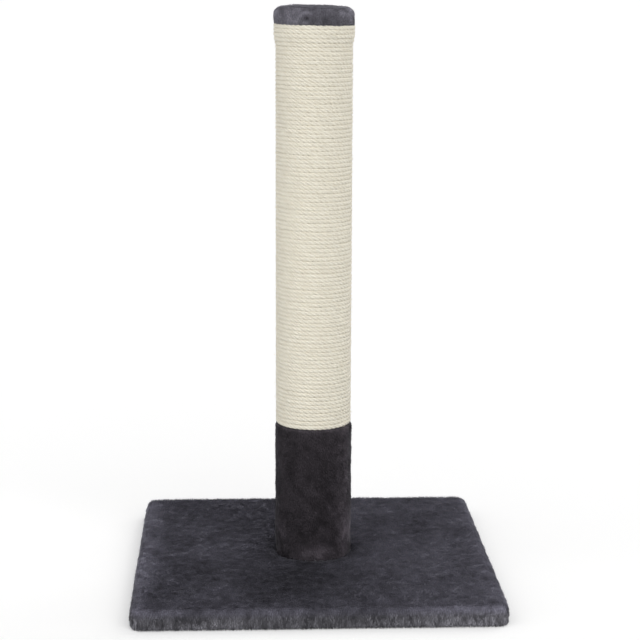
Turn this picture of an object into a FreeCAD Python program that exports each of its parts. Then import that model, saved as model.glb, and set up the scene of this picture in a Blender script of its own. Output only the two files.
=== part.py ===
import FreeCAD
import Part

import math
import os

# Cat scratching post: a rope-wound cardboard post, bolted upright on a square board covered in plush.
#
# Millimetres. +Z is up, the front is -Y, and the origin is on the floor under the middle of the base.
#
# From the floor up: the board stands on the hem of its plush cover, which is stapled to the underside.
# A hex bolt comes up through a penny washer, the board and the cover into a tee nut, which bites into
# the top of the wooden plug in the tube's foot. Plush is glued round the tube's foot as a sleeve, rope
# is wound on the rest, and its last turns lie over the skirt of a padded plush cap.

Vector = FreeCAD.Vector
FLOOR = Vector(0, 0, 0)
UP = Vector(0, 0, 1)

# ---------------------------------------------------------------- driving sizes: plush
backing = 1.0  # knitted ground of the plush
pile = 4.2  # height of the standing pile
hem_thickness = 2.3  # backing and the pile that the base's own weight flattens
crushed_cover = 1.5  # backing and the pile that the bolt clamps flat under the post

# ---------------------------------------------------------------- driving sizes: base
board_width = 390.0
board_depth = 390.0
board_thickness = 16.0
board_corner_radius = 9.0
cover_top_bevel = 3.5  # stands for the soft round of the pile along the top edge
cover_bottom_bevel = 1.5
hem_width = 32.0  # how far the cover is turned under, from its outer edge
hem_corner_radius = 14.0

# ---------------------------------------------------------------- driving sizes: tube and plugs
tube_diameter = 76.0
tube_wall = 4.0
tube_length = 610.0
lower_plug_thickness = 25.0
upper_plug_thickness = 16.0

# ---------------------------------------------------------------- driving sizes: rope, sleeve, cap
rope_diameter = 4.6  # 5 mm sisal, as thick as it is once drawn tight
rope_groove = 1.0  # how deep the eye sees between two turns
shown_turns = 2  # turns modelled singly at the foot of the winding, as are those on the skirt
sleeve_length = 154.2
sleeve_round = 2.5
cap_band = 9.6  # from the tube's top end down to the last turn of rope
cap_side_thickness = 6.7  # plush gathered in pleats round the tube
cap_round = 9.0
cap_underside_round = 2.0
round_flats = 3  # flats that stand for a quarter round on a soft part
pad_thickness = 6.0
skirt_thickness = 2.0
skirt_turns = 4  # turns of rope wound over the cap's skirt

# ---------------------------------------------------------------- driving sizes: bolt, washer, tee nut
bolt_diameter = 8.0
bolt_length = 40.0
bolt_tip_chamfer = 1.0
head_across_flats = 13.0
head_height = 5.3
washer_diameter = 30.0
washer_thickness = 1.5
recess_diameter = 38.0
recess_clearance = 0.7  # from the bolt head up to the board's underside
bolt_hole_clearance = 0.5
washer_hole_clearance = 0.2
thread_clearance = 0.05
nut_barrel_diameter = 10.0
nut_barrel_length = 14.0
nut_flange_diameter = 22.0
nut_flange_thickness = 1.5
nut_hole_clearance = 0.2
prong_count = 4
prong_length = 7.0
prong_width = 3.0
prong_thickness = 1.2

# ---------------------------------------------------------------- driving sizes: staples
crown_width = 11.0
leg_length = 8.0
wire_width = 1.2
wire_thickness = 0.6
dimple_clearance = 1.0  # pile pressed down round a crown
staple_inset = 11.0  # from the hem's inner edge
hem_staple_spacing = 54.0
driven_depth = 0.1  # a crown lies this far under the surface that it was driven into
plug_staple_count = 6
cap_staple_count = 8
rope_bite = 1.6  # how far a crown sinks into the rope

# ---------------------------------------------------------------- derived places
cover_thickness = backing + pile
base_width = board_width + 2 * cover_thickness
base_depth = board_depth + 2 * cover_thickness
board_bottom = hem_thickness
board_top = board_bottom + board_thickness
base_top = board_top + cover_thickness

tube_radius = tube_diameter / 2
bore_radius = tube_radius - tube_wall
post_bottom = board_top + crushed_cover
tube_top = post_bottom + tube_length
sleeve_radius = tube_radius + cover_thickness
sleeve_top = post_bottom + sleeve_length

rope_top = tube_top - cap_band
rope_turns = int((rope_top - sleeve_top) / rope_diameter)
rope_pitch = (rope_top - sleeve_top) / rope_turns
skirt_radius = tube_radius + skirt_thickness
skirt_bottom = rope_top - skirt_turns * rope_pitch

cap_radius = tube_radius + cap_side_thickness
pad_top = tube_top + pad_thickness
cap_top = pad_top + cover_thickness

recess_depth = recess_clearance + head_height + washer_thickness
recess_top = board_bottom + recess_depth
washer_bottom = recess_top - washer_thickness
head_bottom = washer_bottom - head_height
lower_plug_top = post_bottom + lower_plug_thickness
upper_plug_bottom = tube_top - upper_plug_thickness


# ---------------------------------------------------------------- shapes used by several pieces
def cylinder(radius, bottom, top):
    return Part.makeCylinder(radius, top - bottom, Vector(0, 0, bottom), UP)


def ring(inner_radius, outer_radius, bottom, top):
    return cylinder(outer_radius, bottom, top).cut(cylinder(inner_radius, bottom, top))


def edges_at(shape, height):
    """The edges that lie wholly at one height."""
    return [
        edge
        for edge in shape.Edges
        if abs(edge.BoundBox.ZMin - height) < 1e-4 and abs(edge.BoundBox.ZMax - height) < 1e-4
    ]


def upright_edges(shape):
    return [edge for edge in shape.Edges if edge.BoundBox.DiagonalLength - edge.BoundBox.ZLength < 1e-4]


def slab(width, depth, bottom, top, corner_radius):
    """A level slab round the post's axis, with its four upright corners rounded."""
    block = Part.makeBox(width, depth, top - bottom, Vector(-width / 2, -depth / 2, bottom))
    return block.makeFillet(corner_radius, upright_edges(block))


def turned(points):
    """A solid of revolution about the post's axis, from (radius, height) points."""
    outline = [Vector(radius, 0, height) for radius, height in points]
    outline.append(outline[0])
    return Part.Face(Part.makePolygon(outline)).revolve(FLOOR, UP, 360)


def soft_edge(radius, height, round_radius):
    """(radius, height) points of a soft part's rounded outer edge, from its side up to its top."""
    points = []
    for step in range(round_flats + 1):
        angle = math.pi / 2 * step / round_flats
        points.append((
            radius - round_radius * (1 - math.cos(angle)),
            height - round_radius * (1 - math.sin(angle)),
        ))
    return points


def around_axis(shape, count, first_angle=0.0):
    """Copies of a shape, evenly spaced round the post's axis."""
    copies = []
    for index in range(count):
        copy = shape.copy()
        copy.rotate(FLOOR, UP, first_angle + index * 360.0 / count)
        copies.append(copy)
    return copies


# ---------------------------------------------------------------- staples
def staple():
    """One staple: its crown is upright with its outer face at x = 0, and its legs point along -X."""
    gap_depth = leg_length - wire_thickness
    gap_height = crown_width - 2 * wire_thickness
    tip_corner = Vector(-leg_length, -wire_width / 2, 0)
    outer = Part.makeBox(leg_length, wire_width, crown_width, tip_corner - UP * crown_width / 2)
    gap = Part.makeBox(gap_depth, wire_width, gap_height, tip_corner - UP * gap_height / 2)
    return outer.cut(gap)


def staple_in_wall(wall_radius, height):
    """A staple driven towards the post's axis, its crown just under the surface at wall_radius."""
    driven = staple()
    driven.translate(Vector(wall_radius - driven_depth, 0, height))
    return driven


def hem_rows():
    """The hem staples' places along the four sides: (middle of the crown, angle of the side)."""
    places = []
    sides = [(board_width, base_depth), (board_depth, base_width)] * 2
    for side, (along, across) in enumerate(sides):
        run = along - 2 * hem_width
        count = int(run / hem_staple_spacing) + 1
        step = run / (count - 1)
        inset = across / 2 - hem_width + staple_inset
        for index in range(count):
            places.append((Vector(-run / 2 + index * step, -inset, 0), 90.0 * side))
    return places


def hem_staples():
    """Staples that hold the turned-under cover, each pressed through the pile against the backing."""
    crown_outer_face = hem_thickness - backing - wire_thickness
    upward = staple()
    upward.rotate(FLOOR, Vector(0, 1, 0), 90)  # legs up, crown along X
    driven = []
    for place, angle in hem_rows():
        one = upward.copy()
        one.translate(place + Vector(0, 0, crown_outer_face))
        one.rotate(FLOOR, UP, angle)
        driven.append(one)
    return Part.makeCompound(driven)


def staple_dimples():
    """The pile that each hem staple presses out of the way."""
    length = crown_width + 2 * dimple_clearance
    width = wire_width + 2 * dimple_clearance
    dimple = Part.makeBox(length, width, hem_thickness - backing, Vector(-length / 2, -width / 2, 0))
    pressed = []
    for place, angle in hem_rows():
        one = dimple.copy()
        one.translate(place)
        one.rotate(FLOOR, UP, angle)
        pressed.append(one)
    return pressed


def plug_staples(height, first_angle):
    """Staples driven through the tube's wall into a plug at one height."""
    return Part.makeCompound(around_axis(staple_in_wall(tube_radius, height), plug_staple_count, first_angle))


def lower_plug_staples():
    return plug_staples(post_bottom + lower_plug_thickness / 2, 0.0)


def upper_plug_staples():
    half_step = 180.0 / plug_staple_count
    return plug_staples(tube_top - upper_plug_thickness / 2, half_step)


def cap_staples():
    """Staples through the cap's skirt into the tube, which the last turns of rope then hide."""
    height = rope_top - skirt_turns * rope_pitch / 2
    return Part.makeCompound(around_axis(staple_in_wall(skirt_radius, height), cap_staple_count))


def rope_staples():
    """One staple over the rope's first turn and one over its last, at the back of the post."""
    first_turn = staple_in_wall(tube_radius + rope_diameter - rope_bite, sleeve_top + crown_width / 2)
    last_turn = staple_in_wall(skirt_radius + rope_diameter - rope_bite, rope_top - crown_width / 2)
    pair = Part.makeCompound([first_turn, last_turn])
    pair.rotate(FLOOR, UP, 90)
    return pair


# ---------------------------------------------------------------- base
def base_board():
    """The board, with a stepped hole that takes the bolt head and washer above the floor."""
    board = slab(board_width, board_depth, board_bottom, board_top, board_corner_radius)
    bolt_hole = cylinder(bolt_diameter / 2 + bolt_hole_clearance, board_bottom, board_top)
    recess = cylinder(recess_diameter / 2, board_bottom, recess_top)
    return board.cut([bolt_hole, recess])


def base_cover():
    """Plush over the board's top and sides, turned under as a hem, crushed flat where the post stands."""
    blank = slab(base_width, base_depth, 0, base_top, board_corner_radius + cover_thickness)
    blank = blank.makeChamfer(cover_top_bevel, edges_at(blank, base_top))
    blank = blank.makeChamfer(cover_bottom_bevel, edges_at(blank, 0))
    board_space = slab(board_width, board_depth, board_bottom, board_top, board_corner_radius)
    window = slab(base_width - 2 * hem_width, base_depth - 2 * hem_width, 0, board_bottom, hem_corner_radius)
    post_seat = cylinder(sleeve_radius, post_bottom, base_top)
    bolt_hole = cylinder(bolt_diameter / 2 + bolt_hole_clearance, board_top, post_bottom)
    return blank.cut([board_space, window, post_seat, bolt_hole] + staple_dimples())


# ---------------------------------------------------------------- bolt, washer, tee nut
def fixing_bolt():
    corner_radius = head_across_flats / 2 / math.cos(math.pi / 6)
    corners = []
    for corner in range(7):
        angle = math.pi / 3 * corner
        corners.append(Vector(corner_radius * math.cos(angle), corner_radius * math.sin(angle), head_bottom))
    head = Part.Face(Part.makePolygon(corners)).extrude(UP * head_height)
    shank = cylinder(bolt_diameter / 2, washer_bottom, washer_bottom + bolt_length)
    shank = shank.makeChamfer(bolt_tip_chamfer, edges_at(shank, washer_bottom + bolt_length))
    return head.fuse(shank).removeSplitter()


def bolt_washer():
    return ring(bolt_diameter / 2 + washer_hole_clearance, washer_diameter / 2, washer_bottom, recess_top)


def tee_nut():
    """The nut: a barrel in the plug's hole, and a flange on the plug's top with its prongs bent down."""
    thread_radius = bolt_diameter / 2 + thread_clearance
    flange_top = lower_plug_top + nut_flange_thickness
    barrel = ring(thread_radius, nut_barrel_diameter / 2, lower_plug_top - nut_barrel_length, flange_top)
    flange = ring(thread_radius, nut_flange_diameter / 2, lower_plug_top, flange_top)
    prong_outside = nut_flange_diameter / 2
    prong_outline = [
        Vector(prong_outside, -prong_width / 2, lower_plug_top),
        Vector(prong_outside, prong_width / 2, lower_plug_top),
        Vector(prong_outside, 0, lower_plug_top - prong_length),
        Vector(prong_outside, -prong_width / 2, lower_plug_top),
    ]
    prong = Part.Face(Part.makePolygon(prong_outline)).extrude(Vector(-prong_thickness, 0, 0))
    return barrel.fuse([flange] + around_axis(prong, prong_count)).removeSplitter()


# ---------------------------------------------------------------- post
def post_tube():
    return ring(bore_radius, tube_radius, post_bottom, tube_top)


def lower_plug():
    """The wooden disc in the tube's foot, bored for the tee nut."""
    return ring(nut_barrel_diameter / 2 + nut_hole_clearance, bore_radius, post_bottom, lower_plug_top)


def upper_plug():
    return cylinder(bore_radius, upper_plug_bottom, tube_top)


def plush_sleeve():
    outside = [(sleeve_radius, post_bottom)] + soft_edge(sleeve_radius, sleeve_top, sleeve_round)
    return turned(outside + [(tube_radius, sleeve_top), (tube_radius, post_bottom)])


def turn_crest(index):
    """The outer radius of one turn, counted from the sleeve: the last turns ride on the cap's skirt."""
    over_skirt = index >= rope_turns - skirt_turns
    return (skirt_radius if over_skirt else tube_radius) + rope_diameter


def sisal_winding():
    """The wound rope: its end turns one by one, and a plain run at the same outer radius between them."""
    first_plain = shown_turns
    last_plain = rope_turns - skirt_turns - 1
    outline = [(tube_radius, sleeve_top)]
    for index in range(rope_turns):
        if first_plain < index < last_plain:
            continue
        bottom = sleeve_top + index * rope_pitch
        crest = turn_crest(index)
        if index != last_plain:
            outline.append((crest - rope_groove, bottom))
        outline.append((crest, bottom + rope_pitch / 2))
    outline.append((turn_crest(rope_turns - 1) - rope_groove, rope_top))
    outline.append((skirt_radius, rope_top))
    outline.append((skirt_radius, skirt_bottom))
    outline.append((tube_radius, skirt_bottom - rope_pitch))
    return turned(outline)


def cap_pad():
    return cylinder(tube_radius, tube_top, pad_top)


def cap_cover():
    """Plush over the pad and the tube's end, gathered at the side, with its skirt under the rope."""
    skirt = [(tube_radius, skirt_bottom), (skirt_radius, skirt_bottom), (skirt_radius, rope_top)]
    underside = [(cap_radius - cap_underside_round, rope_top), (cap_radius, rope_top + cap_underside_round)]
    crown = soft_edge(cap_radius, cap_top, cap_round) + [(0, cap_top), (0, pad_top), (tube_radius, pad_top)]
    return turned(skirt + underside + crown)


PIECES = {
    "base_board": base_board,
    "base_cover": base_cover,
    "hem_staples": hem_staples,
    "fixing_bolt": fixing_bolt,
    "bolt_washer": bolt_washer,
    "tee_nut": tee_nut,
    "post_tube": post_tube,
    "lower_plug": lower_plug,
    "upper_plug": upper_plug,
    "lower_plug_staples": lower_plug_staples,
    "upper_plug_staples": upper_plug_staples,
    "plush_sleeve": plush_sleeve,
    "sisal_winding": sisal_winding,
    "rope_staples": rope_staples,
    "cap_pad": cap_pad,
    "cap_cover": cap_cover,
    "cap_staples": cap_staples,
}

os.makedirs("parts", exist_ok=True)
for name, make in PIECES.items():
    shape = make()
    if not shape.isValid():
        raise ValueError(name + " is not a valid shape")
    shape.exportStep(os.path.join("parts", name + ".step"))
    print(f"{name}: {len(shape.Solids)} solid(s), {shape.Volume / 1000:.2f} cm3")

rope_length = rope_turns * math.hypot(2 * math.pi * (tube_radius + rope_diameter / 2), rope_pitch)
print(f"{rope_turns} turns at {rope_pitch:.3f} mm: about {rope_length / 1000:.1f} m of rope")
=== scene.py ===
import math

import bmesh
import bpy
import numpy as np
from mathutils import Matrix, Vector
from mathutils import noise as hills


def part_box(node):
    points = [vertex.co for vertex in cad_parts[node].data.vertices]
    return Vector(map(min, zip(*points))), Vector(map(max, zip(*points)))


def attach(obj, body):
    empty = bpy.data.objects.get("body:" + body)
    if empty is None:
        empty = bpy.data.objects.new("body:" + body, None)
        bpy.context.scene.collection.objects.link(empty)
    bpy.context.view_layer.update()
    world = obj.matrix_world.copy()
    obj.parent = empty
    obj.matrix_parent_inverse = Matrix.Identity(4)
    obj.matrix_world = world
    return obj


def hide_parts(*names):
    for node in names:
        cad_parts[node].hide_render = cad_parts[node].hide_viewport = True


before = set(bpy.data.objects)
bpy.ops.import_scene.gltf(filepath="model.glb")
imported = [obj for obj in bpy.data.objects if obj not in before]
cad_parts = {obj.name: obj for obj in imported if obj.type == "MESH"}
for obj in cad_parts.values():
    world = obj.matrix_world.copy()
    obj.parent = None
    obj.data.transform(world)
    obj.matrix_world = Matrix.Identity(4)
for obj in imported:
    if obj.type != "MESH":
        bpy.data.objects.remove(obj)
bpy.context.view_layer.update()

# Cat scratching post: charcoal plush on a square base, round the post's foot and over its top, and a
# twisted sisal rope wound between. Metres. +Z is up, the front is -Y, and the floor is z = 0.

MM = 0.001

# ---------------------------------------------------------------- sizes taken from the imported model
board_low, board_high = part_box("base_board")
_, cover_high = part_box("base_cover")
tube_low, tube_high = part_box("post_tube")
sleeve_low, sleeve_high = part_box("plush_sleeve")
winding_low, winding_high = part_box("sisal_winding")
cap_low, cap_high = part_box("cap_cover")

board_half = board_high.x
cover_half = cover_high.x
tube_radius = tube_high.x
sleeve_radius = sleeve_high.x
cap_radius = cap_high.x
rope_foot = winding_low.z
rope_top = winding_high.z

# ---------------------------------------------------------------- sizes of the looks: plush
pile_stand = 1.3 * MM  # how far the leaning pile fills out the form over its backing
tuft_length = 3.6 * MM
tuft_width = 0.88 * MM
tuft_density = 650000  # tufts in a square metre
floor_gap = 0.1 * MM  # from the floor to the lowest tip of a tuft
cloth_gap = 0.1 * MM  # from the cloth to what it covers
tube_gap = 0.05 * MM  # the same, on the tube
edge_round = 7.5 * MM  # of the cloth over the base's top edge and the cap's

board_corner = 9.0 * MM  # radius of the board's corners, seen from above
foot_round = 2.5 * MM  # of the cloth at the base's lower edge
under_hem = 1.32 * MM  # from the floor to the hem's cloth, which lies on crushed pile
hem_pile = 0.6  # share of the tufts that the base's weight leaves standing
hem_width = 32.0 * MM
staple_line = 21.0 * MM  # from the base's edge to the hem's staples
staples_on_side = 7
staple_step = 54.33 * MM
crown_reach = (7.5 * MM, 1.9 * MM)  # half of the cloth that a staple presses flat, along it and across

# ---------------------------------------------------------------- sizes of the looks: rope
rope_turns = 96
rope_radius = 2.3 * MM
strand_radius = 1.45 * MM
strand_offset = 0.88 * MM  # from the rope's middle to a strand's, outwards
strand_rise = 1.45 * MM  # the same, upwards, because the turns are pressed together
rope_lay = 17.0 * MM  # length in which a strand goes once round the rope
lay_steps = 10
skirt_lift = 2.0 * MM  # the cap's skirt under the last turns
skirt_turns = 4
rope_tail = 0.075  # of a turn: how far each end of the rope tapers off past its staple
rope_rise = (rope_top + 0.8 * MM - rope_foot - 2 * rope_radius) / (rope_turns - 0.5)  # in a turn
winding_pieces = 4
fibre_density = 15000

# Patches of the sleeve and the cap that look lighter or darker. They are partly nap stroked up or down and
# partly
# painted light and shade: a painted rim highlight down the sleeve's right edge, painted sheen and a painted
# highlight on the cap's sides and right shoulder, and a painted shadow where the cap's edge meets the rope.
# Turn in degrees, height in mm, half width in degrees, half height in mm, and how much lighter it looks.
sleeve_nap_and_painted_light = (
    (-32, 110, 16, 80, 0.6),
    (-36, 56, 13, 24, 1.5),
    (-13, 56, 8.5, 19, 3.1),
    (-92, 40, 60, 40, 0.15),
    (-90, 30, 24, 7, 1.6),
    (-146, 50, 13, 9, 0.9),
    (-150, 90, 14, 80, 0.15),
    (-110, 120, 12, 16, 0.25),
    (-62, 75, 10, 12, 0.4),
    (-80, 173, 75, 6, 0.5),
)
cap_nap_and_painted_light = (
    (-66, 628, 26, 7, -0.22),
    (-40, 617, 50, 2.5, -0.5),
    (-176, 630, 34, 16, 0.4),
    (-17, 634, 17, 8, 1.15),
    (-92, 641, 90, 5, 0.3),
)

# The same on the base. The first and strongest is a painted shadow on the top in front of the post, and the
# others make patches along the front edge lighter or darker: place to the right and to the back, half width
# both ways, all in mm, and the gain.
base_nap_and_painted_light = (
    (-12, -112, 72, 88, -0.57),
    (141, -190, 30, 22, 0.22),
    (-50, -200, 36, 8, 0.24),
    (30, -200, 30, 11, -0.14),
    (-178, -200, 28, 12, -0.13),
)


# ---------------------------------------------------------------- formulas in node trees
class Field:
    """A value in a node tree, with which a formula can be written as on paper."""

    def __init__(self, tree, socket):
        self.tree = tree
        self.socket = socket

    def _with(self, operation, *others, first=True):
        math_node = self.tree.nodes.new("ShaderNodeMath")
        math_node.operation = operation
        values = [self, *others] if first else [*others, self]
        for socket, value in zip(math_node.inputs, values):
            feed(self.tree, socket, value)
        return Field(self.tree, math_node.outputs[0])

    def __add__(self, other):
        return self._with("ADD", other)

    def __sub__(self, other):
        return self._with("SUBTRACT", other)

    def __mul__(self, other):
        return self._with("MULTIPLY", other)

    def __truediv__(self, other):
        return self._with("DIVIDE", other)

    def __radd__(self, other):
        return self._with("ADD", other)

    def __rsub__(self, other):
        return self._with("SUBTRACT", other, first=False)

    def __rmul__(self, other):
        return self._with("MULTIPLY", other)

    def at_least(self, other):
        return self._with("MAXIMUM", other)

    def at_most(self, other):
        return self._with("MINIMUM", other)

    def sine(self):
        return self._with("SINE")

    def cosine(self):
        return self._with("COSINE")

    def whole(self):
        return self._with("FLOOR")

    def nearest_whole(self):
        return self._with("ROUND")

    def size(self):
        return self._with("ABSOLUTE")

    def angle_from(self, other):
        return self._with("ARCTAN2", other)

    def exponential(self):
        return self._with("EXPONENT")

    def over(self, other):
        return self._with("GREATER_THAN", other)

    def under(self, other):
        return self._with("LESS_THAN", other)

    def smooth(self, low, high):
        """0 below low, 1 above high, and a soft step between."""
        step = self.tree.nodes.new("ShaderNodeMapRange")
        step.interpolation_type = "SMOOTHSTEP"
        feed(self.tree, step.inputs["Value"], self)
        feed(self.tree, step.inputs["From Min"], low)
        feed(self.tree, step.inputs["From Max"], high)
        return Field(self.tree, step.outputs["Result"])


def feed(tree, socket, value):
    """Gives a socket a number, a colour, an object or another node's output."""
    if isinstance(value, Field):
        tree.links.new(value.socket, socket)
    elif isinstance(value, bpy.types.NodeSocket):
        tree.links.new(value, socket)
    else:
        socket.default_value = value


def add(tree, kind, inputs=None, **settings):
    """Adds a node, sets its options and feeds its inputs, which are named or numbered."""
    made = tree.nodes.new(kind)
    for name, value in settings.items():
        setattr(made, name, value)
    for key, value in (inputs or {}).items():
        feed(tree, made.inputs[key], value)
    return made


def out(tree, made, output=0):
    return Field(tree, made.outputs[output])


def vector(tree, x, y, z):
    return out(tree, add(tree, "ShaderNodeCombineXYZ", {0: x, 1: y, 2: z}))


def parts_of(tree, socket):
    split = add(tree, "ShaderNodeSeparateXYZ", {0: socket})
    return [out(tree, split, k) for k in range(3)]


def vector_math(tree, operation, *values, scale=None):
    made = add(tree, "ShaderNodeVectorMath", dict(enumerate(values)), operation=operation)
    if scale is not None:
        feed(tree, made.inputs["Scale"], scale)
    return out(tree, made)


def noise(tree, where, scale, detail=2.0, output="Fac"):
    made = add(tree, "ShaderNodeTexNoise", {"Vector": where, "Scale": scale, "Detail": detail})
    return out(tree, made, output)


def random_number(tree, low, high, seed):
    made = add(tree, "FunctionNodeRandomValue", {2: low, 3: high, "Seed": seed}, data_type="FLOAT")
    return out(tree, made, 1)


def random_vector(tree, seed):
    """A vector whose parts lie between a half below and a half above 0."""
    made = add(tree, "FunctionNodeRandomValue", {0: (-0.5,) * 3, 1: (0.5,) * 3, "Seed": seed},
               data_type="FLOAT_VECTOR")
    return out(tree, made)


# ---------------------------------------------------------------- geometry node trees
def new_tree(name, **inputs):
    """A geometry tree with named inputs: a number, a whole number, or a socket type with no default."""
    tree = bpy.data.node_groups.new(name, "GeometryNodeTree")
    tree.interface.new_socket("Geometry", in_out="INPUT", socket_type="NodeSocketGeometry")
    tree.interface.new_socket("Geometry", in_out="OUTPUT", socket_type="NodeSocketGeometry")
    for label, value in inputs.items():
        label = label.replace("_", " ")
        if isinstance(value, str):
            tree.interface.new_socket(label, in_out="INPUT", socket_type=value)
            continue
        kind = "NodeSocketInt" if isinstance(value, int) else "NodeSocketFloat"
        socket = tree.interface.new_socket(label, in_out="INPUT", socket_type=kind)
        socket.default_value = value
    entry = tree.nodes.new("NodeGroupInput")
    return tree, {s.name: Field(tree, s) for s in entry.outputs if s.name}


def stored(tree, geometry, name, value, kind="FLOAT", domain="POINT"):
    made = add(tree, "GeometryNodeStoreNamedAttribute", {"Geometry": geometry, "Name": name},
               data_type=kind, domain=domain)
    feed(tree, made.inputs["Value"], value)
    return made.outputs["Geometry"]


def read(tree, name, kind="FLOAT"):
    made = add(tree, "GeometryNodeInputNamedAttribute", {"Name": name}, data_type=kind)
    return out(tree, made, "Attribute")


def finish_tree(tree, geometry, material):
    """Ends a tree in real geometry that wears its material."""
    real = add(tree, "GeometryNodeRealizeInstances", {0: geometry})
    dressed = add(tree, "GeometryNodeSetMaterial", {"Geometry": real.outputs[0], "Material": material})
    leave = tree.nodes.new("NodeGroupOutput")
    tree.links.new(dressed.outputs[0], leave.inputs[0])


def new_object(name, data):
    """An object at the origin, in the scene."""
    made = bpy.data.objects.new(name, data)
    bpy.context.scene.collection.objects.link(made)
    return made


def evaluated(piece):
    return piece.evaluated_get(bpy.context.evaluated_depsgraph_get())


def grown(name, tree, start, **inputs):
    """A plain mesh object: what the tree makes of the start mesh with these inputs."""
    piece = new_object(name, start)
    grower = piece.modifiers.new(name, "NODES")
    grower.node_group = tree
    identifiers = {s.name: s.identifier for s in tree.interface.items_tree if s.in_out == "INPUT"}
    for label, value in inputs.items():
        grower[identifiers[label.replace("_", " ")]] = value
    mesh = bpy.data.meshes.new_from_object(evaluated(piece))
    piece.modifiers.clear()
    mesh.name = name
    piece.data = mesh
    return piece


# ---------------------------------------------------------------- material trees
def new_material(name):
    material = bpy.data.materials.new(name)
    material.use_nodes = True
    tree = material.node_tree
    surface = tree.nodes["Principled BSDF"]
    return material, tree, surface


def finish(surface, **settings):
    """Sets what is the same all over a piece."""
    for label, value in settings.items():
        surface.inputs[label.replace("_", " ")].default_value = value


def object_place(tree):
    return out(tree, add(tree, "ShaderNodeTexCoord"), "Object")


def stretched(tree, where, x, y, z):
    return vector_math(tree, "MULTIPLY", where, (x, y, z))


def blend(tree, share, dark, light):
    """A colour between two, of which a share above 1 or below 0 takes no more than the whole."""
    made = add(tree, "ShaderNodeMix", {"Factor": share, 6: (*dark, 1.0), 7: (*light, 1.0)}, data_type="RGBA")
    return made.outputs[2]


def attribute(tree, name, output="Fac"):
    return out(tree, add(tree, "ShaderNodeAttribute", attribute_name=name), output)


def bumped(tree, surface, height, strength, distance):
    bump = add(tree, "ShaderNodeBump", {"Height": height, "Strength": strength, "Distance": distance})
    tree.links.new(bump.outputs[0], surface.inputs["Normal"])


plush_dark = (0.075, 0.073, 0.085)
plush_light = (0.245, 0.240, 0.277)


def plush_mottle(tree):
    """Where the nap has been stroked one way or the other: broad soft patches and small streaks."""
    where = object_place(tree)
    patches = noise(tree, where, 22.0, 2.0)
    strokes = noise(tree, where, 110.0, 2.0)
    return patches * 1.5 + strokes * 1.6 - 1.25


def dyed_with_painted_light(tree, colour, strength):
    """A colour under the piece's own tint and its painted light and shade, which are stored together at its
    points.
    """
    dye_and_painted_light = vector_math(tree, "SCALE", attribute(tree, "dye_and_painted_light", "Vector"), scale=strength)
    return vector_math(tree, "MULTIPLY", colour, dye_and_painted_light)


def plush_pile_material():
    """Single tufts: each has its own tone, and is lit mostly as the cloth that it grows from."""
    material, tree, surface = new_material("plush_pile")
    tone = attribute(tree, "tuft") * 0.8 + plush_mottle(tree) * 0.9 + 0.25
    feed(tree, surface.inputs["Base Color"], dyed_with_painted_light(tree, blend(tree, tone, plush_dark, plush_light), 1.0))
    cloth = vector_math(tree, "SCALE", attribute(tree, "cloth", "Vector"), scale=0.75)
    own = vector_math(tree, "SCALE", out(tree, add(tree, "ShaderNodeNewGeometry"), "Normal"), scale=0.25)
    feed(tree, surface.inputs["Normal"], vector_math(tree, "NORMALIZE", vector_math(tree, "ADD", cloth, own)))
    finish(surface, Roughness=0.85, Specular_IOR_Level=0.25, Sheen_Weight=1.0, Sheen_Roughness=0.35,
           Sheen_Tint=(0.50, 0.50, 0.54, 1.0))
    return material


def plush_backing_material():
    """The knitted ground between the tufts."""
    material, tree, surface = new_material("plush_backing")
    knit = noise(tree, object_place(tree), 900.0)
    colour = blend(tree, knit * 0.5 + plush_mottle(tree) * 0.6, plush_dark, plush_light)
    # The backing takes the tufts' tint and painted light at 0.7 strength, a painted shade between the tufts.
    feed(tree, surface.inputs["Base Color"], dyed_with_painted_light(tree, colour, 0.7))
    finish(surface, Roughness=0.95, Specular_IOR_Level=0.1)
    bumped(tree, surface, knit, 0.5, 0.6 * MM)
    return material


def sisal_material():
    """Twisted yarn: pale fibres that run along each strand."""
    material, tree, surface = new_material("sisal_yarn")
    side_x, side_y, _ = parts_of(tree, attribute(tree, "strand_side", "Vector"))
    along = attribute(tree, "strand_run")
    fibres = noise(tree, vector(tree, side_x * 2.6, side_y * 2.6, along * 70.0), 3.0, 3.0)
    lengths = noise(tree, vector(tree, along * 6.0, 0.0, 0.0), 1.0)
    tone = fibres * 2.2 + lengths * 0.6 - 0.9
    feed(tree, surface.inputs["Base Color"], blend(tree, tone, (0.83, 0.765, 0.62), (1.0, 0.973, 0.865)))
    finish(surface, Roughness=0.8, Specular_IOR_Level=0.3, Sheen_Weight=0.15, Sheen_Roughness=0.5)
    bumped(tree, surface, fibres, 1.0, 0.6 * MM)
    return material


def fibre_material():
    material, tree, surface = new_material("sisal_fibre")
    tone = noise(tree, object_place(tree), 300.0, 1.0)
    feed(tree, surface.inputs["Base Color"], blend(tree, tone, (0.74, 0.66, 0.50), (0.95, 0.91, 0.80)))
    finish(surface, Roughness=0.7)
    return material


def chipboard_material():
    """Flakes of wood, flatter than they are long, pressed with a fine dust between."""
    material, tree, surface = new_material("chipboard")
    where = object_place(tree)

    def flakes(scale, x, y, z):
        cells = add(tree, "ShaderNodeTexVoronoi", {"Vector": stretched(tree, where, x, y, z), "Scale": scale})
        return parts_of(tree, out(tree, cells, "Color"))[0]

    large, small = flakes(380.0, 1.0, 1.6, 2.5), flakes(900.0, 1.7, 1.0, 2.5)
    tone = large * 0.4 + small * 0.35 + noise(tree, where, 60.0, 3.0) * 0.5 - 0.1
    feed(tree, surface.inputs["Base Color"], blend(tree, tone, (0.30, 0.20, 0.115), (0.66, 0.50, 0.33)))
    finish(surface, Roughness=0.75)
    bumped(tree, surface, large * 0.5 + small * 0.5, 0.3, 0.4 * MM)
    return material


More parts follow.
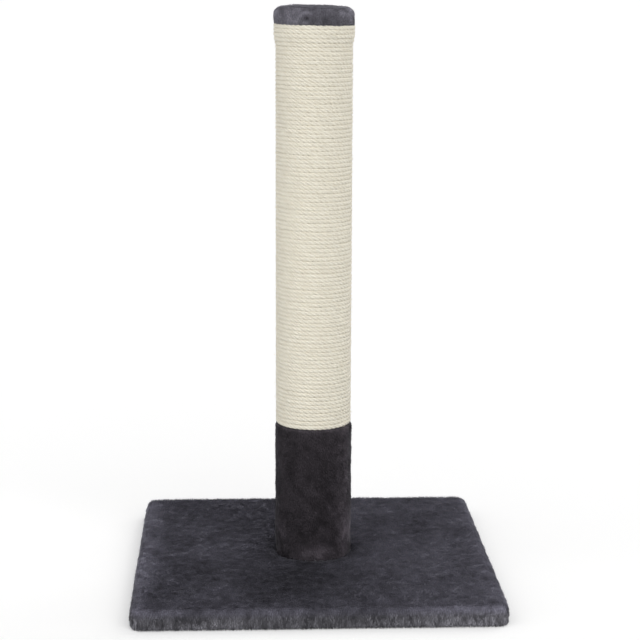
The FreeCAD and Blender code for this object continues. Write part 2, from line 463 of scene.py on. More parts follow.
def cardboard_material():
    """Wound board: faint seams that climb round the tube."""
    material, tree, surface = new_material("cardboard")
    where = object_place(tree)
    x, y, z = parts_of(tree, where)
    climb = x.angle_from(y) * 0.16 + z * 9.0
    seam = (climb - climb.whole()).under(0.03)
    grain = noise(tree, stretched(tree, where, 1.0, 1.0, 0.3), 420.0, 3.0)
    tone = grain * 0.8 + seam * 0.3
    feed(tree, surface.inputs["Base Color"], blend(tree, tone, (0.33, 0.25, 0.17), (0.56, 0.45, 0.32)))
    finish(surface, Roughness=0.85)
    bumped(tree, surface, grain - seam, 0.3, 0.3 * MM)
    return material


def zinc_material(name, tone, roughness):
    """Bright zinc: a cool metal with faint clouds and a fine grain."""
    material, tree, surface = new_material(name)
    where = object_place(tree)
    clouds = noise(tree, where, 160.0, 3.0)
    feed(tree, surface.inputs["Base Color"], blend(tree, clouds, tuple(0.82 * t for t in tone), tone))
    feed(tree, surface.inputs["Roughness"], clouds * 0.2 + roughness)
    finish(surface, Metallic=1.0)
    bumped(tree, surface, noise(tree, where, 1600.0), 0.15, 0.1 * MM)
    return material


PILE = plush_pile_material()
BACKING = plush_backing_material()
SISAL = sisal_material()
FIBRE = fibre_material()
CHIPBOARD = chipboard_material()
CARDBOARD = cardboard_material()
ZINC = zinc_material("zinc_plate", (0.66, 0.67, 0.69), 0.26)
WIRE = zinc_material("staple_wire", (0.60, 0.60, 0.61), 0.3)

NODE_MATERIALS = {
    "base_board": CHIPBOARD,
    "lower_plug": CHIPBOARD,
    "upper_plug": CHIPBOARD,
    "post_tube": CARDBOARD,
    "fixing_bolt": ZINC,
    "bolt_washer": ZINC,
    "tee_nut": ZINC,
    "hem_staples": WIRE,
    "lower_plug_staples": WIRE,
    "upper_plug_staples": WIRE,
    "rope_staples": WIRE,
    "cap_staples": WIRE,
}


def dress_nodes():
    for name, material in NODE_MATERIALS.items():
        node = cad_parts[name]
        for slot in node.material_slots:
            slot.material = material


# ---------------------------------------------------------------- sisal rope
# What a strand and the whole rope are both given. Turns are counted from the sleeve.
ROPE = {
    "First_turn": 0.0, "Last_turn": 24.0, "Turns": rope_turns, "Foot": rope_foot, "Rise": rope_rise,
    "Tube_radius": tube_radius, "Rope_radius": rope_radius, "Strand_radius": strand_radius,
    "Strand_offset": strand_offset, "Strand_rise": strand_rise, "Lay": rope_lay, "Lay_steps": lay_steps,
    "Skirt_lift": skirt_lift, "Skirt_turns": skirt_turns, "Tail": rope_tail,
}


def strand_tree():
    """One strand of the wound rope, from one turn to another."""
    tree, given = new_tree("rope_strand", **ROPE, Phase=0.0)
    turn_length = 2 * math.pi * (given["Tube radius"] + given["Rope radius"])
    turns = given["Last turn"] - given["First turn"]
    count = (turns * turn_length / given["Lay"] * given["Lay steps"]).nearest_whole() + 1.0
    line = add(tree, "GeometryNodeCurvePrimitiveLine", {"Start": (0, 0, 0), "End": (1, 0, 0)})
    fine = add(tree, "GeometryNodeResampleCurve", {"Curve": line.outputs[0], "Count": count})

    index = out(tree, add(tree, "GeometryNodeInputIndex"))
    turn = given["First turn"] + index / (count - 1.0) * turns
    part_turn = turn - turn.whole()

    # Past its first and last turn the rope tapers off, pressed down on what lies below it.
    beyond = (0.0 - turn).at_least(turn - given["Turns"]).at_least(0.0)
    full = (1.0 - beyond / given["Tail"]).at_least(0.25)

    # The first turn lies level on the sleeve and steps up over its own end, in the last tenth of the turn.
    # Six turns higher, the rope climbs evenly.
    wound = turn.at_least(0.0)
    level = (1.0 - wound / 6.0).at_least(0.0)
    climb = wound - wound.whole() - 0.5
    climb = climb.at_most(4.0 - climb * 9.0)
    wander_up = noise(tree, vector(tree, turn * 5.0, turn * 0.37, 0.0), 1.0, 1.0) - 0.5
    wander_out = noise(tree, vector(tree, turn * 3.1, 7.0, turn * 0.61), 1.0, 1.0) - 0.5
    height = given["Foot"] + given["Rope radius"] * full + given["Rise"] * (wound - 0.5 - level * climb)
    height = height + wander_up * (1.1 * MM)

    # The last turns ride on the cap's skirt, and a staple pinches the rope at the back, near each end.
    skirt_start = given["Turns"] - given["Skirt turns"]
    over_skirt = turn.smooth(skirt_start - 1.2, skirt_start + 1.5)
    from_back = (part_turn - 0.5).size() - 0.5
    arc = from_back * turn_length / (3.2 * MM)
    pinch = (0.0 - arc * arc).exponential() * (turn.under(2.4) + turn.over(given["Turns"] - 2.4))
    radius = given["Tube radius"] + given["Rope radius"] * full + over_skirt * given["Skirt lift"]
    radius = radius + wander_out * (0.7 * MM) - pinch * (1.7 * MM)

    angle = math.pi / 2 - turn * (2 * math.pi)
    twist = turn * (turn_length / given["Lay"]) * (2 * math.pi) + given["Phase"]
    outward = radius + given["Strand offset"] * full * twist.cosine() * (1.0 - pinch * 0.45)
    up = height + given["Strand rise"] * full * twist.sine()
    place = vector(tree, outward * angle.cosine(), outward * angle.sine(), up)
    path = add(tree, "GeometryNodeSetPosition", {"Geometry": fine.outputs[0], "Position": place})
    run = stored(tree, path.outputs[0], "strand_run", turn * turn_length + given["Phase"])
    section = add(tree, "GeometryNodeCurvePrimitiveCircle", {
        "Resolution": 6, "Radius": given["Strand radius"]})
    side = vector_math(tree, "NORMALIZE", out(tree, add(tree, "GeometryNodeInputPosition")))
    section = stored(tree, section.outputs[0], "strand_side", side, "FLOAT_VECTOR")
    tube = add(tree, "GeometryNodeCurveToMesh", {
        "Curve": run, "Profile Curve": section, "Scale": full, "Fill Caps": True})
    soft = add(tree, "GeometryNodeSetShadeSmooth", {"Geometry": tube.outputs[0]})
    leave = tree.nodes.new("NodeGroupOutput")
    tree.links.new(soft.outputs[0], leave.inputs[0])
    return tree


def rope_tree():
    """The rope as wound: three strands twisted round each other."""
    strand = strand_tree()
    tree, given = new_tree("wound_rope", **ROPE, Strands="NodeSocketMaterial")
    join = tree.nodes.new("GeometryNodeJoinGeometry")
    for k in range(3):
        one = add(tree, "GeometryNodeGroup", node_tree=strand)
        for label in (key.replace("_", " ") for key in ROPE):
            feed(tree, one.inputs[label], given[label])
        one.inputs["Phase"].default_value = 2 * math.pi * k / 3
        tree.links.new(one.outputs[0], join.inputs[0])
    finish_tree(tree, join.outputs[0], given["Strands"])
    return tree


def wind_rope():
    """The whole winding, in pieces that each hold the same number of turns."""
    tree = rope_tree()
    pieces = []
    for k in range(winding_pieces):
        first = rope_turns * k / winding_pieces - (rope_tail if k == 0 else 0.0)
        last = rope_turns * (k + 1) / winding_pieces + (rope_tail if k == winding_pieces - 1 else 0.0)
        given = {**ROPE, "First_turn": first, "Last_turn": last, "Strands": SISAL}
        pieces.append(grown(f"rope_winding_{k + 1}", tree, bpy.data.meshes.new("rope_start"), **given))
    return pieces


def fibre_tree():
    """Loose fibres that stand off a rope, mostly along it."""
    tree, given = new_tree("loose_fibres", Density=15000.0, Length=4.2 * MM, Thickness=0.11 * MM, Seed=1,
                           Fibres="NodeSocketMaterial")
    normal = out(tree, add(tree, "GeometryNodeInputNormal"))
    x, y, _ = parts_of(tree, out(tree, add(tree, "GeometryNodeInputPosition")))
    away = vector_math(tree, "NORMALIZE", vector(tree, x, y, 0.0))
    facing = add(tree, "ShaderNodeVectorMath", {0: normal, 1: away}, operation="DOT_PRODUCT")
    outside = out(tree, facing, "Value").over(0.35)
    points = add(tree, "GeometryNodeDistributePointsOnFaces", {
        "Mesh": given["Geometry"], "Selection": outside, "Density": given["Density"], "Seed": given["Seed"]})
    away_x, away_y, _ = parts_of(tree, away)
    round_post = vector(tree, away_y, 0.0 - away_x, 0.0)
    either_way = random_number(tree, -1.0, 1.0, 5).over(0.0) * 2.0 - 1.0
    lay = vector_math(tree, "SCALE", round_post, scale=either_way)
    lift = vector_math(tree, "SCALE", away, scale=0.42)
    direction = vector_math(tree, "ADD", vector_math(tree, "ADD", lay, lift), random_vector(tree, 3))
    turn = add(tree, "FunctionNodeAlignRotationToVector", {"Vector": direction}, axis="Z")
    length = given["Length"]
    line = add(tree, "GeometryNodeCurveQuadraticBezier", {
        "Resolution": 3, "Start": (0, 0, 0), "Middle": vector(tree, length * 0.12, 0.0, length * 0.5),
        "End": vector(tree, 0.0 - length * 0.05, 0.0, length)})
    section = add(tree, "GeometryNodeCurvePrimitiveCircle", {"Resolution": 3, "Radius": given["Thickness"]})
    fibre = add(tree, "GeometryNodeCurveToMesh", {
        "Curve": line.outputs[0], "Profile Curve": section.outputs[0], "Fill Caps": True})
    copies = add(tree, "GeometryNodeInstanceOnPoints", {
        "Points": points.outputs[0], "Instance": fibre.outputs[0], "Rotation": turn.outputs[0],
        "Scale": vector(tree, 1.0, 1.0, random_number(tree, 0.35, 1.2, 8))})
    finish_tree(tree, copies.outputs[0], given["Fibres"])
    return tree


def stray_fibres(windings):
    """One fringe of loose fibres for each piece of the winding."""
    tree = fibre_tree()
    return [grown(f"rope_fibres_{k + 1}", tree, winding.data.copy(), Density=float(fibre_density),
                  Seed=11 + k, Fibres=FIBRE) for k, winding in enumerate(windings)]


# ---------------------------------------------------------------- plush
def tufts_tree():
    """Tufts of pile on a backing, leaning with its nap. They never reach below the floor."""
    tree, given = new_tree(
        "pile", Density=500000.0, Length=4.4 * MM, Width=0.9 * MM, Lean=1.5, Stray=0.6, Waves=95.0,
        Wave_lean=2.0, Clumps=380.0, Gather=0.6, From_x=-1.0, To_x=1.0, Seed=1, Tufts="NodeSocketMaterial",
    )
    place = out(tree, add(tree, "GeometryNodeInputPosition"))
    x, _, height = parts_of(tree, place)
    cover = read(tree, "pile")
    wanted = x.over(given["From x"]) * x.under(given["To x"]) * cover.over(0.35)
    points = add(tree, "GeometryNodeDistributePointsOnFaces", {
        "Mesh": given["Geometry"], "Selection": wanted, "Density": given["Density"] * cover,
        "Seed": given["Seed"]})
    waves = vector_math(tree, "SUBTRACT", noise(tree, place, given["Waves"], 1.0, "Color"), (0.5, 0.5, 0.5))
    lean_to = vector_math(tree, "SCALE", waves, scale=given["Wave lean"])

    # tufts gather in clumps, longer along the nap, and their tips come together over the middle of each
    squeezed = vector_math(tree, "MULTIPLY", place, (1.0, 0.4, 0.4))
    clump = add(tree, "ShaderNodeTexVoronoi", {"Vector": squeezed, "Scale": given["Clumps"]})
    to_middle = vector_math(tree, "SUBTRACT", clump.outputs["Position"], squeezed)
    to_middle = vector_math(tree, "MULTIPLY", to_middle, (1.0, 2.5, 2.5))
    ruffle = read(tree, "ruffle")
    gather = given["Gather"] * ruffle / given["Length"]
    lean_to = vector_math(tree, "ADD", lean_to, vector_math(tree, "SCALE", to_middle, scale=gather))
    stray_by = vector_math(tree, "SCALE", random_vector(tree, 3), scale=given["Stray"])
    nap = vector_math(tree, "SCALE", read(tree, "nap", "FLOAT_VECTOR"), scale=given["Lean"])
    direction = vector_math(tree, "ADD", points.outputs["Normal"], nap)
    direction = vector_math(tree, "ADD", direction, lean_to)
    direction = vector_math(tree, "NORMALIZE", vector_math(tree, "ADD", direction, stray_by))
    turn = add(tree, "FunctionNodeAlignRotationToVector", {"Vector": direction}, axis="Z")

    clump_tone, _, _ = parts_of(tree, clump.outputs["Color"])
    tone = (random_number(tree, 0.0, 1.0, 21) * 0.4 + clump_tone - 0.7) * ruffle
    marked = stored(tree, points.outputs[0], "tuft", tone)
    marked = stored(tree, marked, "cloth", points.outputs["Normal"], "FLOAT_VECTOR")
    _, _, upwards = parts_of(tree, direction)
    room = (height - floor_gap) / (0.0 - upwards).at_least(0.05)
    length = (random_number(tree, 0.7, 1.25, 8) * given["Length"]).at_most(room.at_least(0.4 * MM))
    width = random_number(tree, 0.7, 1.2, 9) * given["Width"]
    tuft = add(tree, "GeometryNodeMeshCone", {"Vertices": 3, "Side Segments": 1, "Radius Top": 0.0,
                                              "Radius Bottom": 0.58, "Depth": 1.0}, fill_type="NGON")
    soft = add(tree, "GeometryNodeSetShadeSmooth", {"Geometry": tuft.outputs["Mesh"]})
    copies = add(tree, "GeometryNodeInstanceOnPoints", {
        "Points": marked, "Instance": soft.outputs[0], "Rotation": turn.outputs[0],
        "Scale": vector(tree, width, width, length)})
    finish_tree(tree, copies.outputs[0], given["Tufts"])
    return tree


def soft_noise(points, size, seed):
    """Smooth noise from -1 to 1 at each point, with bumps about this large."""
    offset = Vector((seed * 17.31, seed * 5.77, seed * 11.13))
    return np.array([hills.noise(Vector(p) / size + offset) for p in points])


def closed_mesh(name, points, faces):
    """A smooth closed mesh, with its faces turned outwards."""
    mesh = bpy.data.meshes.new(name)
    mesh.from_pydata(points.tolist(), [], faces)
    shell = bmesh.new()
    shell.from_mesh(mesh)
    bmesh.ops.recalc_face_normals(shell, faces=shell.faces)
    shell.to_mesh(mesh)
    shell.free()
    mesh.polygons.foreach_set("use_smooth", [True] * len(mesh.polygons))
    mesh.update()
    return mesh


def ring_mesh(name, rings):
    """A mesh through rings of points, each as long as the others. The last ring joins the first."""
    count, around = len(rings), len(rings[0])
    faces = []
    for i in range(count):
        for j in range(around):
            a, b = i * around + j, i * around + (j + 1) % around
            c, d = ((i + 1) % count) * around + (j + 1) % around, ((i + 1) % count) * around + j
            faces.append((a, b, c, d))
    return closed_mesh(name, np.concatenate(rings), faces)


def mark(mesh, name, values, kind="FLOAT"):
    """Stores a number or a vector at each point of a mesh."""
    layer = mesh.attributes.new(name, kind, "POINT")
    key = "value" if kind == "FLOAT" else "vector"
    layer.data.foreach_set(key, np.asarray(values, np.float32).ravel())


def vectors_of(items, key):
    """A vector of each of a mesh's points."""
    found = np.zeros(len(items) * 3, np.float32)
    items.foreach_get(key, found)
    return found.reshape(-1, 3)


def points_of(mesh):
    return vectors_of(mesh.vertices, "co")


def normals_of(mesh):
    return vectors_of(mesh.vertex_normals, "vector")


def moved(mesh, offsets):
    mesh.vertices.foreach_set("co", (points_of(mesh) + offsets).astype(np.float32).ravel())
    mesh.update()


def turns_of(points):
    """The angle of each point round the post, from the right."""
    return np.arctan2(points[:, 1], points[:, 0])


def ramp(value, low, width):
    """0 up to low, and from there evenly up to 1 over the width."""
    return np.clip((value - low) / width, 0, 1)


def spot(*ratios):
    """1 where all the ratios are 0, fading softly to all sides."""
    return np.exp(-sum(ratio ** 2 for ratio in ratios))


def brushed_and_painted_light(across, along, strokes, around=False):
    """How light each point looks, for strokes over the nap and for painted light and shade. Around the post,
    across is in degrees.
    """
    light = np.ones(len(across))
    for middle, height, wide, tall, gain in strokes:
        away = across - middle
        if around:
            away = (away + 180) % 360 - 180
        light *= 1 + gain * spot(away / wide, (along - height) / tall)
    return light


def nap_over(normals):
    """The nap of a cloth laid over a form: to the front on top, down the front, and up the back."""
    axis = np.column_stack([-normals[:, 1], normals[:, 0], np.zeros(len(normals))])
    nap = np.tile(np.array([0.0, -1.0, 0.0]), (len(normals), 1))
    once = np.cross(axis, nap)
    return nap + once + np.cross(axis, once) / (1.0 + np.maximum(normals[:, 2], -0.7))[:, None]


def backing_object(name, mesh):
    mesh.materials.append(BACKING)
    return new_object(name, mesh)


def lifted(flat, height):
    """Points seen from above, put at a height."""
    return np.column_stack([flat, np.full(len(flat), height)])


def directions_round(count):
    """Even angles round the post, from the right, and the way that each of them points."""
    angles = np.arange(count) * 2 * math.pi / count
    return angles, np.column_stack([np.cos(angles), np.sin(angles)])


def quarter(steps, first=0):
    """The sine and cosine of even steps up to a right angle."""
    return [(math.sin(a), math.cos(a)) for a in (math.pi / 2 * k / steps for k in range(first, steps + 1))]


# The cosine and sine of the turns from the front side to the right, the back and the left.
four_sides = [(math.cos(math.pi / 2 * side), math.sin(math.pi / 2 * side)) for side in range(4)]


def square_ring(half, corner, straight=96, round_points=12):
    """Points round a square with rounded corners, from the front left, seen from above anticlockwise."""
    flat = half - corner
    line = [(-flat + 2 * flat * k / straight, -half) for k in range(straight)]
    arc = [(flat + corner * s, -flat - corner * c) for s, c in quarter(round_points)[:-1]]
    return np.array([(x * c - y * s, x * s + y * c) for c, s in four_sides for x, y in line + arc])


def by_staples(points):
    """True at the points that a hem staple's crown presses flat."""
    pressed = np.zeros(len(points), bool)
    last = staples_on_side // 2
    for c, s in four_sides:
        along = points[:, 0] * c + points[:, 1] * s
        inwards = points[:, 1] * c - points[:, 0] * s + cover_half - staple_line
        nearest = np.clip(np.round(along / staple_step), -last, last) * staple_step
        pressed |= (np.abs(along - nearest) < crown_reach[0]) & (np.abs(inwards) < crown_reach[1])
    return pressed


def paint_base_dye_and_light(mesh, points, top):
    """Dyes the base's cloth and paints light and shade into it: a painted sheen along the rim, the sides
    darker and the lower front lighter, a painted shade round the post's foot, painted light from the right,
    and the base's strokes.
    """
    x, y, z = points.T
    front = ramp(-y - np.abs(x), 0, 20 * MM)
    rim_x = ramp(np.abs(x), cover_half - 34 * MM, 32 * MM) ** 1.5
    rim_y = ramp(np.abs(y), cover_half - 16 * MM, 14 * MM)
    side = ramp(top - 3 * MM - z, 0, 6 * MM)
    face_down = ramp(top - z, 0, 16 * MM)
    from_post = ramp(np.hypot(x, y), sleeve_radius, 26 * MM)
    ends = ramp(np.abs(x), 80 * MM, 100 * MM)
    # Painted sheen along the rim; the sides darker and the front face lighter lower down, partly the nap's
    # direction and partly painted light.
    tone = 1.01 + (0.62 - 0.5 * front) * np.maximum(rim_x, rim_y) - (0.40 - 0.44 * front * face_down) * side
    tone += 0.62 * rim_x * (x < 0) * (1 - front) + 0.35 * rim_y * (y > 0)
    # Painted shade round the post's foot; painted light from the right, so the right side is lighter, and the
    # front edge lighter at its right end and darker along the top elsewhere; then the strokes, the strongest
    # a painted shadow in front of the post.
    tone *= (0.6 + 0.4 * from_post) * (1 + np.where(x > 0, 0.16, 0.04) * x / cover_half)
    tone *= 1 + 0.24 * front * rim_y * ((x > 0) * ends - (1 - side) * (1 - ends))
    tone *= brushed_and_painted_light(x / MM, y / MM, base_nap_and_painted_light)
    tint = np.outer(1 - side, (1.0, 0.99, 1.07)) + np.outer(side, (1.0, 1.0, 0.97))
    mark(mesh, "dye_and_painted_light", tone[:, None] * tint, "FLOAT_VECTOR")
    mark(mesh, "ruffle", 0.2 + 1.2 * side)


def base_backing():
    """The base's cloth: over the top, round the edge, turned under as a hem, and back along the board."""
    top = cover_high.z - pile_stand
    half = cover_half - pile_stand
    corner = cover_half - board_half + board_corner - pile_stand
    post_foot = tube_low.z
    side_foot = foot_round + under_hem
    hem = hem_width - pile_stand
    by_board = half - board_half - cloth_gap
    over_board, under_board = board_high.z + cloth_gap, board_low.z - cloth_gap
    top_rings, side_rings, hem_rings = 46, 8, 20

    def ring(inset, height):
        return lifted(square_ring(half - inset, max(corner - inset, 1.0 * MM)), height)

    edge = ring(edge_round, top)
    angles = turns_of(edge)
    directions = np.column_stack([np.cos(angles), np.sin(angles)])

    def circle(beyond, height):
        return lifted(directions * (sleeve_radius + beyond), height)

    # Each ring of the cloth from the post outwards and back under the board, and the share of its pile.
    inner = circle(10 * MM, top)
    cloth = [(circle(-3 * MM, post_foot + 0.2 * MM), 0), (circle(0.0, post_foot + 0.5 * MM), 1),
             (circle(2.5 * MM, post_foot + 1.1 * MM), 1), (circle(6 * MM, top - 0.25 * MM), 1)]
    cloth += [(inner * (1 - k / top_rings) + edge * (k / top_rings), 1) for k in range(top_rings)]
    cloth += [(ring(edge_round * (1 - s), top - edge_round * (1 - c)), 1) for s, c in quarter(8)]
    cloth += [(ring(0.0, top - edge_round + (side_foot - top + edge_round) * k / side_rings), 1)
              for k in range(1, side_rings + 1)]
    cloth += [(ring(foot_round * (1 - c), side_foot - foot_round * s), 1) for s, c in quarter(4, 1)]
    cloth += [(ring(foot_round + (hem - foot_round) * k / hem_rings, under_hem), hem_pile)
              for k in range(1, hem_rings + 1)]
    cloth += [(ring(inset, height), 0) for inset, height in (
        (hem + 0.5 * MM, under_hem + 0.4 * MM), (hem, under_board), (20 * MM, under_board),
        (by_board, under_board), (by_board, over_board))]
    cloth += [(circle(20 * MM, over_board), 0), (circle(-3 * MM, over_board), 0)]

    mesh = ring_mesh("base_plush", [points for points, _ in cloth])
    points, normals = points_of(mesh), normals_of(mesh)
    grows = np.repeat(np.array([share for _, share in cloth], float), len(edge))
    in_hem = points[:, 2] < under_hem + 0.05 * MM
    grows[by_staples(points) & in_hem] = 0.0
    swell = soft_noise(points, 34 * MM, 1) * 0.45 * MM + soft_noise(points, 9 * MM, 2) * 0.2 * MM
    moved(mesh, normals * (swell * (grows > 0) * ~in_hem)[:, None])
    mark(mesh, "pile", grows)
    mark(mesh, "nap", nap_over(normals), "FLOAT_VECTOR")
    paint_base_dye_and_light(mesh, points, top)
    return backing_object("base_plush", mesh)


def sleeve_backing():
    """The sleeve's cloth round the post's foot, with its two edges meeting at the back."""
    _, directions = directions_round(216)
    outer, inner = sleeve_radius - pile_stand, tube_radius + tube_gap
    foot, head = sleeve_low.z + cloth_gap, sleeve_high.z
    wall_rings = 70
    sizes = [(inner, foot)]
    sizes += [(outer, foot + (head - 2.5 * MM - foot) * k / wall_rings) for k in range(wall_rings + 1)]
    sizes += [(outer - 0.5 * MM, head - 1.2 * MM), (outer - 1.5 * MM, head - 0.5 * MM),
              (inner, head - 0.4 * MM)]
    mesh = ring_mesh("sleeve_plush", [lifted(directions * radius, height) for radius, height in sizes])

    points, normals = points_of(mesh), normals_of(mesh)
    outside = np.hypot(points[:, 0], points[:, 1]) > inner + 1.0 * MM
    seam = spot(np.arctan2(points[:, 0], points[:, 1]) * outer / (1.6 * MM))
    swell = (soft_noise(points, 30 * MM, 4) * 0.5 * MM + soft_noise(points, 8 * MM, 5) * 0.2 * MM
             - seam * 1.3 * MM)
    moved(mesh, normals * (swell * outside)[:, None])
    mark(mesh, "pile", outside & (points[:, 2] > foot + 1 * MM))
    mark(mesh, "nap", np.tile((0.0, 0.0, -1.0), (len(points), 1)), "FLOAT_VECTOR")
    # The sleeve's tint carries painted light and shade: a painted shade along the seam's groove, and the
    # strokes, partly nap and partly a painted rim highlight.
    light = brushed_and_painted_light(np.degrees(turns_of(points)), points[:, 2] / MM, sleeve_nap_and_painted_light, around=True)
    mark(mesh, "dye_and_painted_light", np.outer(0.302 * (1 - 0.25 * seam) * light, (1.0, 0.88, 0.89)), "FLOAT_VECTOR")
    mark(mesh, "ruffle", np.full(len(points), 0.2))
    return backing_object("sleeve_plush", mesh)


def settled(mesh, held, growth, most, frames=24):
    """Lets cloth that is cut a little too large settle over its form.

    It keeps to its place where it is held, and no point of it moves further than the most that it may.
    """
    start, away = points_of(mesh), normals_of(mesh)
    piece = new_object("cloth_trial", mesh.copy())
    piece.vertex_groups.new(name="held").add(np.nonzero(held)[0].tolist(), 1.0, "REPLACE")
    cloth = piece.modifiers.new("cloth", "CLOTH")
    for setting, value in {
        "quality": 6, "mass": 0.3, "tension_stiffness": 12.0, "compression_stiffness": 12.0,
        "shear_stiffness": 4.0, "bending_stiffness": 0.35, "shrink_min": -growth, "use_pressure": True,
        "uniform_pressure_force": 3.0, "vertex_group_mass": "held",
    }.items():
        setattr(cloth.settings, setting, value)
    cloth.settings.effector_weights.gravity = 0.0
    cloth.point_cache.frame_start = 1
    cloth.point_cache.frame_end = frames
    for frame_number in range(1, frames + 1):
        bpy.context.scene.frame_set(frame_number)
    offset = points_of(evaluated(piece).to_mesh()) - start
    bpy.data.objects.remove(piece)
    bpy.context.scene.frame_set(1)

    # the padding under the cloth stops it from sinking in
    sunk = np.minimum((offset * away).sum(axis=1) + 0.3 * MM, 0.0)
    offset -= away * sunk[:, None]
    length = np.linalg.norm(offset, axis=1)
    moved(mesh, offset * np.minimum(1.0, most / np.maximum(length, 1e-9))[:, None])


def refined(mesh):
    """The mesh with its faces divided smoothly."""
    piece = new_object("refined", mesh)
    divide = piece.modifiers.new("divide", "SUBSURF")
    divide.levels = divide.render_levels = 1
    smooth = bpy.data.meshes.new_from_object(evaluated(piece))
    bpy.data.objects.remove(piece)
    smooth.name = mesh.name
    smooth.polygons.foreach_set("use_smooth", [True] * len(smooth.polygons))
    smooth.update()
    return smooth


def cap_backing():
    """The cap's cloth: over the pad, down the side in soft folds, and under the rope as a flat skirt."""
    around = 112
    angles, directions = directions_round(around)
    side = cap_radius - pile_stand - 1.4 * MM
    flat = side - edge_round
    crown, dome = cap_high.z - pile_stand - 2.6 * MM, 0.5 * MM
    skirt, skirt_foot = tube_radius + 1.9 * MM, cap_low.z + 0.2 * MM
    inner, under_crown = tube_radius + tube_gap, tube_high.z + cloth_gap
    side_foot = rope_top + 1.8 * MM

    # The rope's last turn climbs to the left, and the cap's edge lies on it. At the back it steps down again.
    part_turn = ((np.pi / 2 - angles) % (2 * math.pi)) / (2 * math.pi)
    edge_drop = -4.4 * MM * (1 - part_turn) * np.clip(part_turn / rope_tail, 0, 1)

    def circle(radius, height, follow=0.0):
        return lifted(directions * radius, height + edge_drop * follow)

    rings = [circle(skirt, skirt_foot), circle(skirt, rope_top - 8 * MM),
             circle(side - 3.4 * MM, rope_top - 0.6 * MM, 1.0)]
    rings += [circle(side - 2.2 * MM * (1 - s), rope_top - 0.8 * MM + 2.6 * MM * (1 - c), 1.0 - 0.1 * k)
              for k, (s, c) in enumerate(quarter(3))]
    rings += [circle(side, side_foot + (crown - edge_round - side_foot) * k / 5, 0.7 - 0.15 * k)
              for k in range(1, 5)]
    rings += [circle(side - edge_round * (1 - c), crown - edge_round * (1 - s)) for s, c in quarter(8)]
    rings += [circle(flat * (1 - k / 11), crown + dome * math.sin(math.pi / 2 * k / 11))
              for k in range(1, 11)]
    outer_rings = len(rings)
    rings += [circle(0.2 * MM, crown + dome), circle(0.2 * MM, under_crown), circle(inner * 0.5, under_crown),
              circle(inner, under_crown), circle(inner, skirt_foot)]
    mesh = ring_mesh("cap_plush", rings)
    number = np.repeat(np.arange(len(rings)), around)
    held = (number < 4) | (number >= outer_rings)
    settled(mesh, held, growth=0.05, most=(1.6 - 1.2 * ramp(number, 15, 6)) * MM)
    mesh = refined(mesh)

    points, normals = points_of(mesh), normals_of(mesh)
    x, y, z = points.T
    radius, turn = np.hypot(x, y), turns_of(points)
    outside = (z > under_crown + 2.0 * MM) | ((radius > skirt + 1.2 * MM) & (z > rope_top - 6 * MM))

    # In front, the cloth is drawn in at one spot, and a crease arches over it.
    drawn_in, spot_height = -1.81, 625.8 * MM
    dimple = spot((turn - drawn_in) * side / (3.4 * MM), (z - spot_height) / (3.2 * MM))
    arch = spot_height + 6.2 * MM - 150 * MM * (turn - drawn_in) ** 2
    crease = spot((turn - drawn_in + 0.05) * side / (9.0 * MM), (z - arch) / (1.6 * MM))
    swell = (soft_noise(points, 15 * MM, 7) * 0.7 * MM + soft_noise(points, 6 * MM, 8) * 0.25 * MM
             - 2.2 * MM * dimple + 1.0 * MM * crease)
    moved(mesh, normals * (swell * outside)[:, None])

    # The crown slopes down a little to the right.
    climb = ramp(z, rope_top, crown - rope_top)
    moved(mesh, np.array([[0.0, 0.0, -1.0]]) * (0.7 * MM * x / side * climb * outside)[:, None])

    # Painted light and shade on the cap: lighter towards the crown and darker down by the rope, painted sheen
    # on the sides and most on the left, a painted shade in the dimple and a painted highlight on the crease.
    on_side = ramp(radius, flat * 0.8, side - flat * 0.8)
    left = np.clip(-np.cos(turn), 0, 1) ** 2
    tone = 0.98 + 0.42 * climb + (0.5 * np.cos(turn) ** 2 + 0.9 * left) * on_side
    tone *= (1 - 0.6 * dimple + 0.5 * crease) * brushed_and_painted_light(np.degrees(turn), z / MM, cap_nap_and_painted_light, around=True)
    mark(mesh, "pile", outside)
    mark(mesh, "nap", nap_over(normals), "FLOAT_VECTOR")
    mark(mesh, "dye_and_painted_light", np.outer(tone, (1.0, 0.985, 1.0)), "FLOAT_VECTOR")
    mark(mesh, "ruffle", np.full(len(points), 0.3))
    return backing_object("cap_plush", mesh)


def sow_pile(backing, tree, name, count=1, density=tuft_density, length=tuft_length, width=tuft_width,
             seed=1):
    """Tufts on one backing, in as many pieces as keep each of them light."""
    across = points_of(backing.data)[:, 0]
    low, high = across.min() - 1e-6, across.max() + 1e-6
    made = []
    for k in range(count):
        made.append(grown(
            name if count == 1 else f"{name}_{k + 1}", tree, backing.data.copy(), Density=float(density),
            Length=length, Width=width, Lean=2.1, Stray=0.4, Seed=seed + k, Tufts=PILE,
            From_x=low + (high - low) * k / count, To_x=low + (high - low) * (k + 1) / count,
        ))
    return made


# ---------------------------------------------------------------- studio
def seen_by_eye(tree):
    """1 for what the camera sees, straight or by way of metal or glass, and 0 for all other light."""
    ray = add(tree, "ShaderNodeLightPath")
    return (out(tree, ray, "Is Camera Ray").at_least(out(tree, ray, "Is Glossy Ray"))
            .at_least(out(tree, ray, "Is Transmission Ray")))


def sun(name, strength, angle, turn, tilt):
    lamp = bpy.data.lights.new(name, "SUN")
    lamp.energy = strength
    lamp.angle = math.radians(angle)
    new_object(name, lamp).rotation_euler = (math.radians(tilt), 0.0, math.radians(turn))


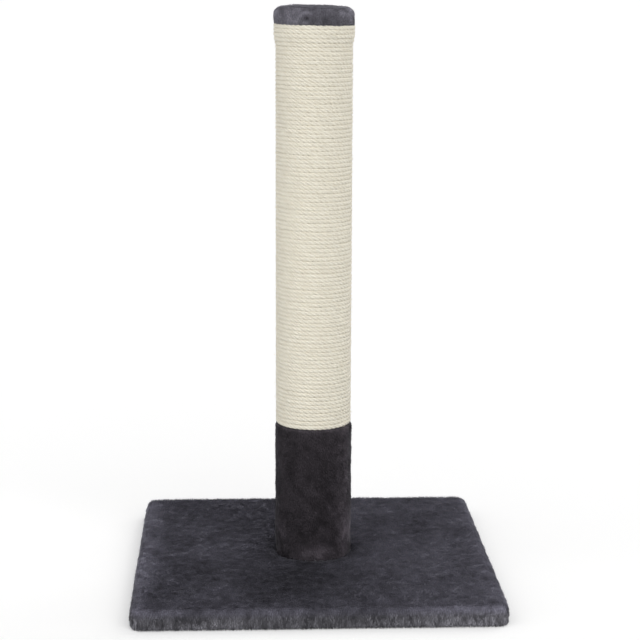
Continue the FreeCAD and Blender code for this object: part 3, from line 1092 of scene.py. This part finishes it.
def studio():
    """Three soft lamps, and a room and a paper floor that look white and light the post more softly."""
    world = bpy.data.worlds.new("studio")
    bpy.context.scene.world = world
    world.use_nodes = True
    tree = world.node_tree
    background = tree.nodes["Background"]
    feed(tree, background.inputs["Color"], (1.0, 1.0, 1.0, 1.0))
    feed(tree, background.inputs["Strength"], seen_by_eye(tree) * 0.5 + 0.5)
    sun("key", 1.2, 50, 23, 55)
    sun("fill", 0.7, 70, -50, 60)
    sun("back", 0.5, 40, 130, 55)

    floor = new_object("floor", bpy.data.meshes.new("floor"))
    floor.data.from_pydata([(-40, -10, 0), (40, -10, 0), (40, 70, 0), (-40, 70, 0)], [], [(0, 1, 2, 3)])
    material, tree, surface = new_material("floor_paper")
    finish(surface, Base_Color=(0.86, 0.86, 0.86, 1.0), Roughness=0.9, Specular_IOR_Level=0.0,
           Emission_Color=(1.0, 1.0, 1.0, 1.0))
    feed(tree, surface.inputs["Emission Strength"], seen_by_eye(tree) * 0.22)
    floor.data.materials.append(material)


def camera():
    """The camera that took the picture: its place and turn are worked out from the object's edges."""
    place = Vector((-83.0, -1990.3, 693.5)) * MM
    down, turn, roll = 0.1996, 0.0453, 0.0034
    forward = Vector((math.sin(turn) * math.cos(down), math.cos(turn) * math.cos(down), -math.sin(down)))
    right = Vector((math.cos(turn), -math.sin(turn), 0.0))
    up = right.cross(forward)
    rolled_right = right * math.cos(roll) + up * math.sin(roll)
    rolled_up = up * math.cos(roll) - right * math.sin(roll)
    data = bpy.data.cameras.new("camera")
    data.sensor_width = 36.0
    data.lens = 101.84
    holder = new_object("camera", data)
    holder.matrix_world = Matrix((
        (rolled_right.x, rolled_up.x, -forward.x, place.x),
        (rolled_right.y, rolled_up.y, -forward.y, place.y),
        (rolled_right.z, rolled_up.z, -forward.z, place.z),
        (0.0, 0.0, 0.0, 1.0),
    ))
    bpy.context.scene.camera = holder


# ---------------------------------------------------------------- assembly
dress_nodes()

windings = wind_rope()
fibres = stray_fibres(windings)
for piece in windings + fibres:
    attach(piece, "root")
for piece in windings:
    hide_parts("sisal_winding")

pile_tree = tufts_tree()
base = base_backing()
base_pile = sow_pile(base, pile_tree, "base_pile", count=4)
sleeve = sleeve_backing()
sleeve_pile = sow_pile(sleeve, pile_tree, "sleeve_pile", density=750000, length=3.3 * MM, width=0.8 * MM,
                       seed=31)
cap = cap_backing()
cap_pile = sow_pile(cap, pile_tree, "cap_pile", density=1000000, length=2.7 * MM, width=0.75 * MM, seed=41)

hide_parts("base_cover")
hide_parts("plush_sleeve")
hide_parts("cap_cover", "cap_pad")
for piece in [base, sleeve, cap] + base_pile + sleeve_pile + cap_pile:
    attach(piece, "root")

studio()
camera()
bpy.context.scene.view_settings.view_transform = "Standard"
